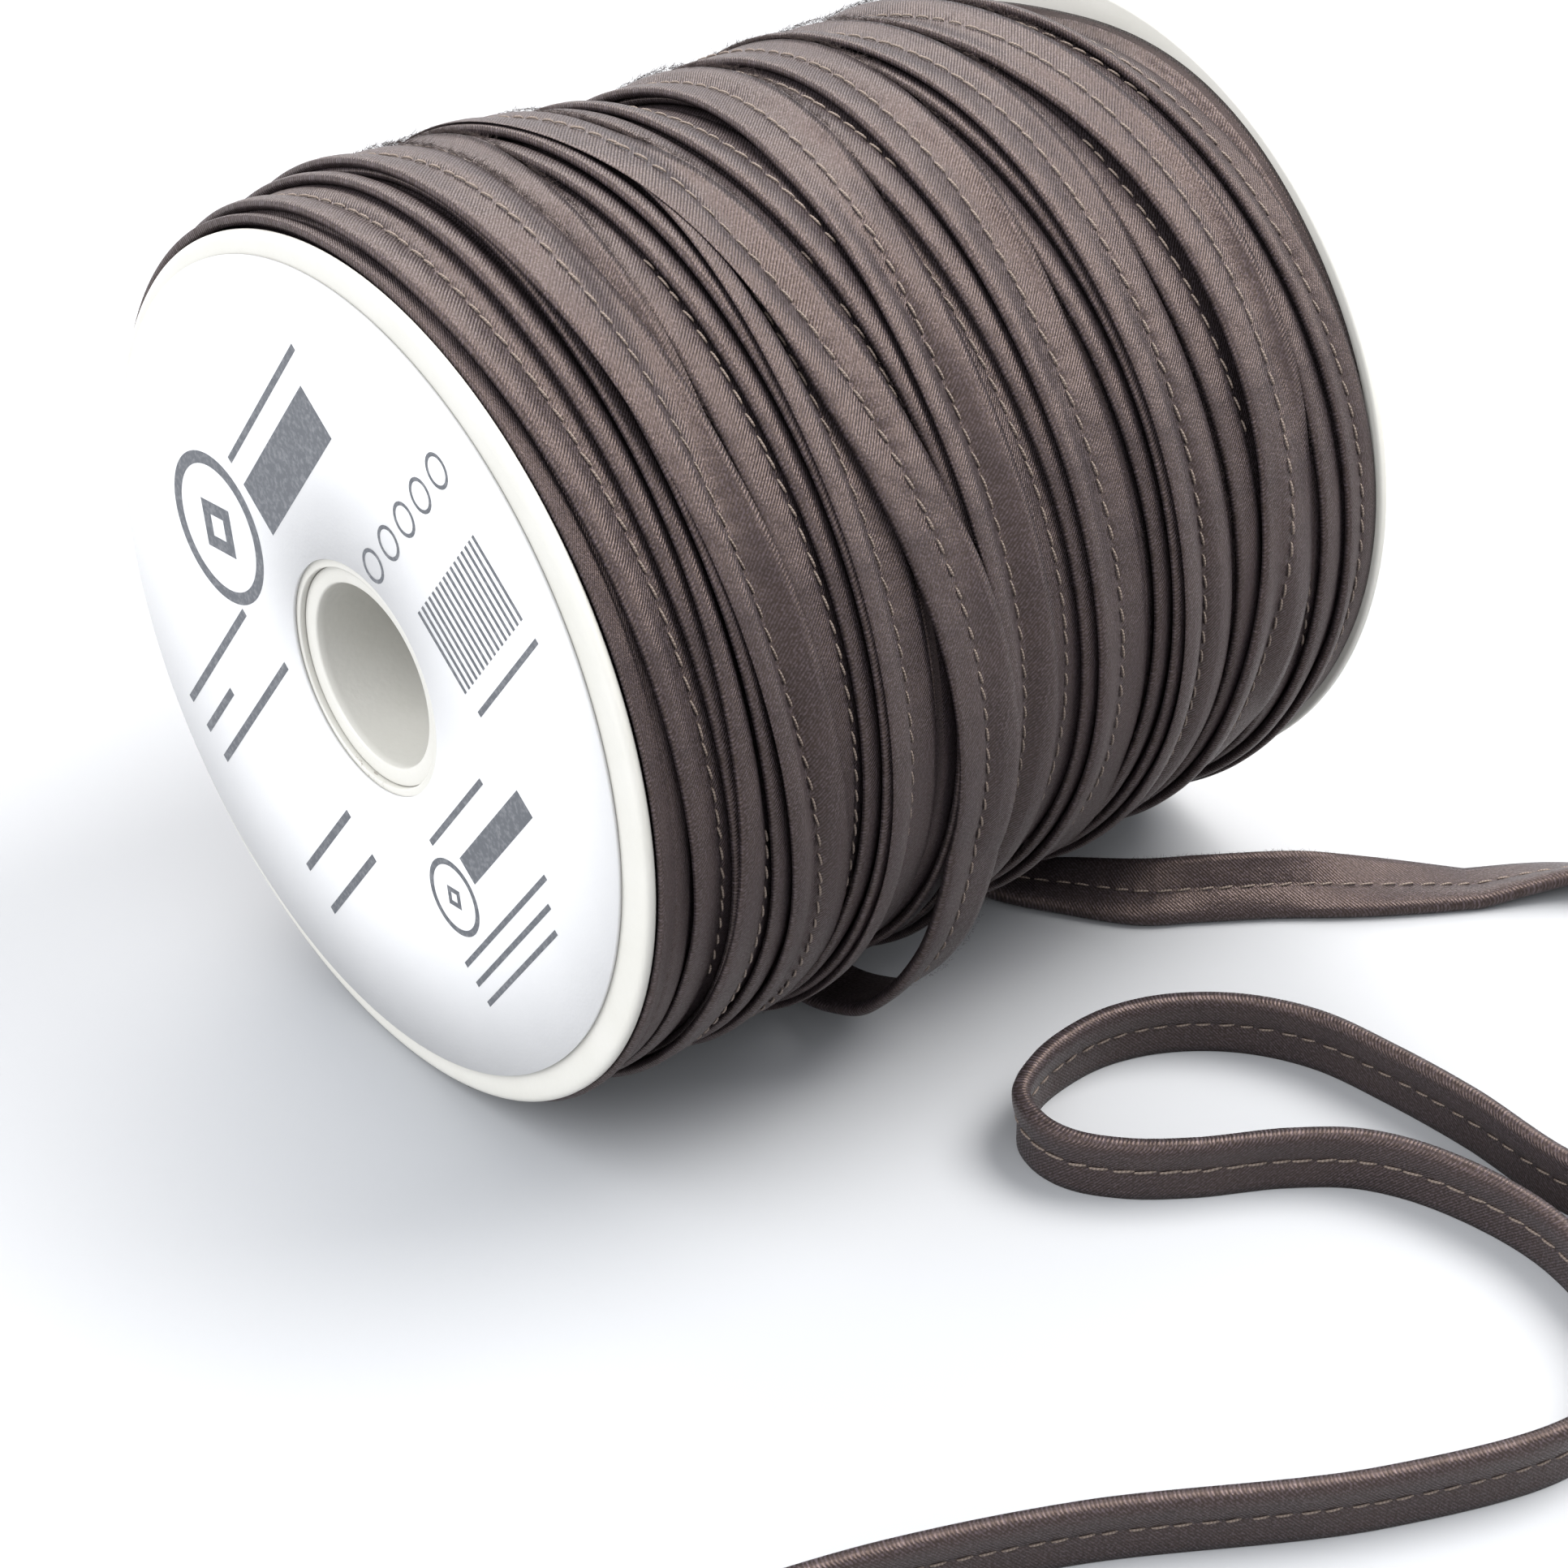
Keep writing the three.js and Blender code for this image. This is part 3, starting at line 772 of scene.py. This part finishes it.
def flange_profile(face, inward):
    """A flange's section: a slightly raised border with a rounded rim, and a rounded hole."""
    rounding = RIM_RADIUS - RIM_ROUNDING
    depths = [(0.05, BORDER_RADIUS), (0.0, BORDER_RADIUS + 0.3), (0.0, rounding - 0.1)]
    for a in np.radians([15, 35, 55, 75, 90]):
        depths.append((0.6 - 0.6 * math.cos(a), rounding + RIM_ROUNDING * math.sin(a)))
    depths += [
        (FLANGE_THICKNESS - 0.3, RIM_RADIUS),
        (FLANGE_THICKNESS - 0.1, RIM_RADIUS - 0.1),
        (FLANGE_THICKNESS, RIM_RADIUS - 0.4),
        (FLANGE_THICKNESS, RIM_RADIUS / 2),
        (FLANGE_THICKNESS, HOLE_RADIUS),
        (0.25, HOLE_RADIUS),
        (0.1, HOLE_RADIUS + 0.07),
        (0.05, HOLE_RADIUS + 0.25),
    ]
    profile = [(face + depth * inward, radius) for depth, radius in depths]
    return profile if inward > 0 else profile[::-1]


def add_spool(plastic):
    """The two flanges and the tube between them."""
    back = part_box("flange_back")[1][0] / MM - FACE_AT
    add_lathe("front_flange", flange_profile(FLANGE_FACE, 1), plastic, "flange_front")
    add_lathe("rear_flange", flange_profile(back, -1), plastic, "flange_back")
    start, end = (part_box("core_tube")[k][0] / MM - FACE_AT for k in (0, 1))
    profile = []
    for place, inward in ((start + MOUTH_SINK, 1), (end - MOUTH_SINK, -1)):
        mouth = [
            (place + 1.2 * inward, BORE_RADIUS),
            (place + 0.3 * inward, BORE_RADIUS + 0.08),
            (place + 0.1 * inward, BORE_RADIUS + 0.2),
            (place, BORE_RADIUS + 0.4),
            (place, TUBE_RADIUS - 0.12),
            (place, TUBE_RADIUS - 0.03),
            (place + 0.05 * inward, TUBE_RADIUS),
        ]
        profile += mouth if inward > 0 else mouth[::-1]
    add_lathe("hub_tube", profile, plastic, "core_tube")


# The label, printed with plain bars and marks

LABEL_BACK = 0.15
LABEL_FACE = -0.4
LABEL_OUTER = {"radius": 56.6, "y": 1.65, "z": -0.1}
LABEL_HOLE = {"radius": 16.5, "y": -0.5, "z": 0.5}
LABEL_STEPS = 256
PRINT_RISE = 0.03
PRINT_SIN = 0.8
PRINT_COS = 0.6
PRINT_BARS = [
    # from a to a and from b to b, in the print's own upright axes about the hub
    (-1, 30, 34.3, 35.3),
    (-1, 26.5, 23, 31),
    (-49, -20, 20.0, 21.2),
    (-49, -36, 15.0, 16.2),
    (-49, -17, 10.0, 11.2),
    (-43, -23, -10.6, -9.4),
    (-43, -23, -17.6, -16.4),
    (-6, 15, -22.5, -21.6),
    (-1, 22, -30.5, -26.5),
    (-15, 17, -37.4, -36.6),
    (-15, 14, -40.4, -39.6),
    (-15, 12, -43.4, -42.6),
    (23.5, 45.5, -16.6, -15.8),
]
STRIPES = {"from": 23.0, "to": 46.0, "low": -13.0, "high": -1.0, "count": 16, "fill": 0.45}
DOTS = {"from": 19.0, "step": 6.6, "count": 5, "b": 8.0, "size": 2.4, "line": 0.55}
MARKS = [
    # ring middle a and b, outer and inner radius, and radius of the diamond inside it
    (-14.0, 31.0, 11.0, 9.2, 5.0),
    (-8.0, -29.5, 5.6, 4.7, 2.0),
]


def print_point(a, b):
    """A point of the print, on the label's face, from the print's own axes."""
    y = PRINT_SIN * b - PRINT_COS * a
    return (LABEL_FACE - PRINT_RISE, y, AXIS_HEIGHT + PRINT_SIN * a + PRINT_COS * b)


def box_quad(a0, a1, b0, b1):
    return [(a0, b0), (a1, b0), (a1, b1), (a0, b1)]


def band_quads(a, b, outer, inner, sides):
    """Quads of a ring with a few or many sides."""
    quads = []
    angles = [2 * math.pi * k / sides for k in range(sides + 1)]
    for first, second in zip(angles, angles[1:]):
        corners = ((first, inner), (first, outer), (second, outer), (second, inner))
        quads.append([(a + radius * math.cos(t), b + radius * math.sin(t)) for t, radius in corners])
    return quads


def add_label(paper, ink):
    """The round paper label, set a little off centre, and its print."""
    turn = np.arange(LABEL_STEPS) * 2 * math.pi / LABEL_STEPS

    def ring(shape, x):
        y = shape["y"] - shape["radius"] * np.sin(turn)
        z = AXIS_HEIGHT + shape["z"] + shape["radius"] * np.cos(turn)
        return np.stack([np.full(LABEL_STEPS, x), y, z], 1)

    faces = [ring(LABEL_HOLE, LABEL_BACK), ring(LABEL_HOLE, LABEL_FACE)]
    faces += [ring(LABEL_OUTER, LABEL_FACE), ring(LABEL_OUTER, LABEL_BACK)]
    middle = (faces[1] + faces[2]) / 2
    sheet = np.stack([*faces[:2], middle, *faces[2:]], 1)
    along = np.arange(LABEL_STEPS + 1) / LABEL_STEPS * 2 * math.pi * LABEL_OUTER["radius"]
    across = np.array([0, 0.3, 20.0, 40.0, 40.3, 60.0])
    piece = add_grid("paper_label", sheet, along, across, paper, rings_close=True)
    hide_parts("label")

    quads = [box_quad(*bar) for bar in PRINT_BARS]
    pitch = (STRIPES["to"] - STRIPES["from"]) / STRIPES["count"]
    for k in range(STRIPES["count"]):
        a = STRIPES["from"] + k * pitch
        quads.append(box_quad(a, a + pitch * STRIPES["fill"], STRIPES["low"], STRIPES["high"]))
    for k in range(DOTS["count"]):
        a = DOTS["from"] + k * DOTS["step"]
        quads += band_quads(a, DOTS["b"], DOTS["size"], DOTS["size"] - DOTS["line"], 24)
    for a, b, outer, inner, heart in MARKS:
        quads += band_quads(a, b, outer, inner, 64)
        quads += band_quads(a, b, heart, heart * 0.45, 4)
    points = np.array([print_point(a, b) for quad in quads for a, b in quad])
    uvs = np.array([corner for quad in quads for corner in quad])
    piece = add_mesh("label_print", points, np.arange(len(points)).reshape(-1, 4), uvs, ink)


# Materials


class Surface:
    """A material under construction, with short ways to add and join its nodes."""

    def __init__(self, name, colour, roughness):
        self.material = bpy.data.materials.new(name)
        self.material.use_nodes = True
        self.tree = self.material.node_tree
        self.shader = self.tree.nodes["Principled BSDF"]
        self.shader.inputs["Base Color"].default_value = (*colour, 1.0)
        self.shader.inputs["Roughness"].default_value = roughness

    def add(self, kind, inputs=None, **settings):
        node = self.tree.nodes.new(kind)
        for key, value in settings.items():
            setattr(node, key, value)
        for key, value in (inputs or {}).items():
            self.put(node.inputs[key], value)
        return node

    def put(self, socket, value):
        """Sets a socket to a value, or joins another socket to it."""
        if isinstance(value, bpy.types.NodeSocket):
            self.tree.links.new(value, socket)
        else:
            socket.default_value = value

    def maths(self, operation, *values):
        node = self.add("ShaderNodeMath", operation=operation)
        for socket, value in zip(node.inputs, values):
            self.put(socket, value)
        return node.outputs[0]

    def weighted(self, *terms):
        """The sum of values, each times its weight."""
        parts = [self.maths("MULTIPLY", value, weight) for value, weight in terms]
        total = parts[0]
        for part in parts[1:]:
            total = self.maths("ADD", total, part)
        return total

    def noise(self, vector, scale, detail=2.0, roughness=0.5):
        inputs = {"Vector": vector, "Scale": scale, "Detail": detail, "Roughness": roughness}
        return self.add("ShaderNodeTexNoise", inputs).outputs[0]

    def ramp(self, value, low, high, to_low=0.0, to_high=1.0):
        """Maps a value from one range to another and holds it at the ends."""
        return self.add("ShaderNodeMapRange", {0: value, 1: low, 2: high, 3: to_low, 4: to_high}).outputs[0]

    def mix(self, share, first, second):
        """A colour between two colours."""
        node = self.add("ShaderNodeMix", data_type="RGBA")
        self.put(node.inputs[0], share)
        for socket, value in ((node.inputs[6], first), (node.inputs[7], second)):
            self.put(socket, (*value, 1.0) if isinstance(value, tuple) else value)
        return node.outputs[2]

    def colour(self, value):
        self.put(self.shader.inputs["Base Color"], value)

    def bump(self, height, distance):
        """Bump from a height whose unit is the distance in metres."""
        node = self.add("ShaderNodeBump", {"Height": height, "Distance": distance, "Strength": 1.0})
        self.put(self.shader.inputs["Normal"], node.outputs[0])


TWILL_PERIOD = 0.55
# Darker brown painted into the hollows of the folds: painted shade
SATIN_PAINTED_FOLD_SHADE = (0.013, 0.011, 0.012)
SATIN_BROWN = (0.018, 0.0135, 0.013)
# Pale violet painted into the colour on the twill crests and the glint speckles: painted highlight
SATIN_PAINTED_GLINT = (0.063, 0.050, 0.057)
SATIN_SHEEN = (1.0, 0.73, 0.62, 1.0)


def satin_material():
    """Bias-cut satin: diagonal twill lines, small glints painted pale into its colour as painted
    highlights, soft folds painted darker in their hollows as painted shade, and puckers beside the seam.
    """
    m = Surface("brown_satin", (0.030, 0.024, 0.026), 0.4)
    cloth = m.add("ShaderNodeUVMap", uv_map="cloth").outputs[0]
    parts = m.add("ShaderNodeSeparateXYZ", {0: cloth})
    along, across = parts.outputs[0], parts.outputs[1]

    diagonal = m.maths("ADD", along, across)
    twill = m.maths("SINE", m.maths("MULTIPLY", diagonal, 2 * math.pi / TWILL_PERIOD))
    stretched = m.add("ShaderNodeMapping", {0: cloth, 2: (0, 0, math.radians(45)), 3: (2.6, 0.9, 1)})
    grain = m.noise(stretched.outputs[0], 1.0, 3.0, 0.6)
    glints = m.noise(cloth, 2.6, 1.5, 0.5)
    folds = m.noise(cloth, 0.10, 2.0, 0.5)

    from_seam = m.maths("ABSOLUTE", m.maths("SUBTRACT", across, SEAM))
    beside = m.ramp(from_seam, 0.2, 1.8, 1.0, 0.0)
    wave = m.maths("SINE", m.maths("MULTIPLY", along, 2 * math.pi / STITCH_PITCH))
    pucker = m.maths("MULTIPLY", wave, beside)

    m.bump(m.weighted((twill, 0.024), (grain, 0.09), (glints, 0.05), (folds, 1.1), (pucker, 0.05)), MM)

    # Painted shade: the colour goes darker where the folds' bump is low, in their hollows
    shade = m.mix(m.ramp(folds, 0.35, 0.65), SATIN_PAINTED_FOLD_SHADE, SATIN_BROWN)
    shade = m.mix(m.ramp(grain, 0.3, 0.7), shade, SATIN_BROWN)
    # The twill lines are the weave's own pattern; the glint speckles lighten the colour as painted
    # highlights of light on the satin
    twill_and_glint_mask = m.maths("ADD", m.maths("MULTIPLY", twill, 0.11), glints)
    m.colour(m.mix(m.ramp(twill_and_glint_mask, 0.44, 0.76), shade, SATIN_PAINTED_GLINT))
    m.put(m.shader.inputs["Roughness"], m.ramp(twill_and_glint_mask, 0.3, 0.75, 0.46, 0.30))
    weft = m.add("ShaderNodeTangent", direction_type="UV_MAP", uv_map="cloth").outputs[0]
    m.put(m.shader.inputs["Tangent"], weft)
    m.shader.inputs["Anisotropic"].default_value = 0.65
    m.shader.inputs["IOR"].default_value = 1.46
    m.shader.inputs["Specular Tint"].default_value = SATIN_SHEEN
    return m.material


def thread_material():
    """Sewing thread: tan, with its twist, and painted darker in the twist's grooves as painted shade."""
    m = Surface("tan_thread", (0.15, 0.115, 0.093), 0.6)
    cloth = m.add("ShaderNodeUVMap", uv_map="cloth").outputs[0]
    parts = m.add("ShaderNodeSeparateXYZ", {0: cloth})
    twist = m.maths("ADD", m.maths("MULTIPLY", parts.outputs[0], 14.0), parts.outputs[1])
    lay = m.maths("SINE", twist)
    m.bump(m.maths("MULTIPLY", lay, 0.03), MM)
    # Painted shade: the colour is darker in the grooves of the twist, where its bump is low
    m.colour(m.mix(m.ramp(lay, -1, 1), (0.11, 0.083, 0.067), (0.19, 0.146, 0.118)))
    return m.material


def plastic_material():
    """Moulded ivory plastic with faint mottling and a few dark scuffs at the foot of the hub."""
    m = Surface("ivory_plastic", (0.50, 0.49, 0.455), 0.37)
    place = m.add("ShaderNodeTexCoord").outputs["Object"]
    mottle = m.noise(place, 90.0, 3.0)
    fine = m.noise(place, 900.0, 2.0)
    foot = row_point(FLANGE_FACE, 2.5, AXIS_HEIGHT - TUBE_RADIUS)
    away = m.add("ShaderNodeVectorMath", {0: place, 1: foot}, operation="DISTANCE").outputs[1]
    depth = m.add("ShaderNodeSeparateXYZ", {0: place}).outputs[0]
    on_face = m.ramp(depth, foot[0] + 0.5 * MM, foot[0] + 1.0 * MM, 1.0, 0.0)
    near = m.maths("MULTIPLY", m.ramp(away, 0.0025, 0.0055, 1.0, 0.0), on_face)
    specks = m.ramp(m.noise(place, 1500.0, 2.0, 0.6), 0.60, 0.66)
    scuff = m.maths("MULTIPLY", near, specks)
    ivory = m.mix(m.ramp(mottle, 0.3, 0.7), (0.49, 0.481, 0.44), (0.515, 0.505, 0.47))
    m.colour(m.mix(scuff, ivory, (0.22, 0.19, 0.16)))
    m.put(m.shader.inputs["Roughness"], m.ramp(fine, 0.3, 0.7, 0.32, 0.42))
    m.bump(fine, 0.00003)
    return m.material


def paper_material():
    """Smooth white label paper with a fine tooth."""
    m = Surface("label_paper", (0.61, 0.61, 0.613), 0.65)
    place = m.add("ShaderNodeTexCoord").outputs["Object"]
    tooth = m.noise(place, 2500.0, 3.0)
    cloud = m.ramp(m.noise(place, 60.0, 2.0), 0.3, 0.7)
    m.colour(m.mix(cloud, (0.60, 0.601, 0.604), (0.62, 0.62, 0.622)))
    m.bump(tooth, 0.00002)
    m.shader.inputs["IOR"].default_value = 1.35
    return m.material


def ink_material():
    """Grey ink that lets a little of the paper's tooth through."""
    m = Surface("grey_ink", (0.11, 0.117, 0.127), 0.55)
    place = m.add("ShaderNodeTexCoord").outputs["Object"]
    grain = m.ramp(m.noise(place, 1600.0, 2.0), 0.45, 0.75)
    m.colour(m.mix(grain, (0.075, 0.08, 0.09), (0.15, 0.155, 0.165)))
    return m.material


def floor_material():
    """A pale matt surface with the faintest unevenness, paler far away where less light falls."""
    m = Surface("pale_floor", (0.352, 0.36, 0.37), 0.6)
    place = m.add("ShaderNodeTexCoord").outputs["Object"]
    cloud = m.ramp(m.noise(place, 3.0, 2.0), 0.3, 0.7)
    near = m.mix(cloud, (0.345, 0.352, 0.362), (0.36, 0.367, 0.378))
    away = m.add("ShaderNodeVectorMath", {0: place}, operation="LENGTH").outputs[1]
    m.colour(m.mix(m.ramp(away, 0.75, 1.9), near, (0.88, 0.89, 0.905)))
    m.shader.inputs["IOR"].default_value = 1.3
    return m.material


# The floor and the light

FLOOR_REACH = 3.0
ROOM_COLOUR = (0.94, 0.96, 1.0, 1.0)
# The room is brighter towards one side: from and to along that direction, and its strength at both
WINDOW_SIDE = (-0.45, 0.5, 0.75)
WINDOW_GLOW = (-0.6, 1.0, 0.98, 1.10)
LIGHT_TARGET = (0.0, 0.0, 0.05)
LIGHTS = [
    # name, place in metres, size in metres, power in watts, colour
    ("back_window", (0.5, 1.1, 1.1), 1.0, 22.5, (1.0, 0.95, 0.91)),
    ("left_window", (-0.85, 0.1, 0.75), 1.1, 17.5, (0.97, 0.98, 1.0)),
    ("top_window", (0.5, -0.25, 0.82), 0.62, 17.0, (1.0, 0.98, 0.96)),
]


def add_stage():
    """A pale floor that carries on behind the spool, a bright room, and soft lights."""
    floor = bpy.data.meshes.new("floor")
    corners = [(x * FLOOR_REACH, y * FLOOR_REACH, 0) for x, y in ((-1, -1), (1, -1), (1, 1), (-1, 1))]
    floor.from_pydata(corners, [], [(0, 1, 2, 3)])
    floor.materials.append(floor_material())
    ground = bpy.data.objects.new("floor", floor)
    bpy.context.scene.collection.objects.link(ground)

    world = bpy.data.worlds.new("room")
    world.use_nodes = True
    tree = world.node_tree
    background = tree.nodes["Background"]
    direction = tree.nodes.new("ShaderNodeTexCoord")
    toward = tree.nodes.new("ShaderNodeVectorMath")
    toward.operation = "DOT_PRODUCT"
    toward.inputs[1].default_value = Vector(WINDOW_SIDE).normalized()
    tree.links.new(direction.outputs["Generated"], toward.inputs[0])
    glow = tree.nodes.new("ShaderNodeMapRange")
    glow.interpolation_type = "SMOOTHSTEP"
    for socket, value in zip(glow.inputs[1:5], WINDOW_GLOW):
        socket.default_value = value
    tree.links.new(toward.outputs["Value"], glow.inputs["Value"])
    tree.links.new(glow.outputs[0], background.inputs["Strength"])
    background.inputs["Color"].default_value = ROOM_COLOUR
    bpy.context.scene.world = world
    for light in LIGHTS:
        add_light(*light)


def add_light(name, place, size, power, colour):
    """A square area light that faces the spool."""
    light = bpy.data.lights.new(name, "AREA")
    light.shape = "SQUARE"
    light.size = size
    light.energy = power
    light.color = colour
    lamp = bpy.data.objects.new(name, light)
    lamp.location = place
    toward = Vector(LIGHT_TARGET) - Vector(place)
    lamp.rotation_euler = toward.to_track_quat("-Z", "Y").to_euler()
    bpy.context.scene.collection.objects.link(lamp)


add_camera()
satin = satin_material()
thread = thread_material()
add_loose_end(satin, thread)
add_winding(satin, thread)
add_spool(plastic_material())
add_label(paper_material(), ink_material())
add_stage()
bpy.context.scene.view_settings.view_transform = "Standard"
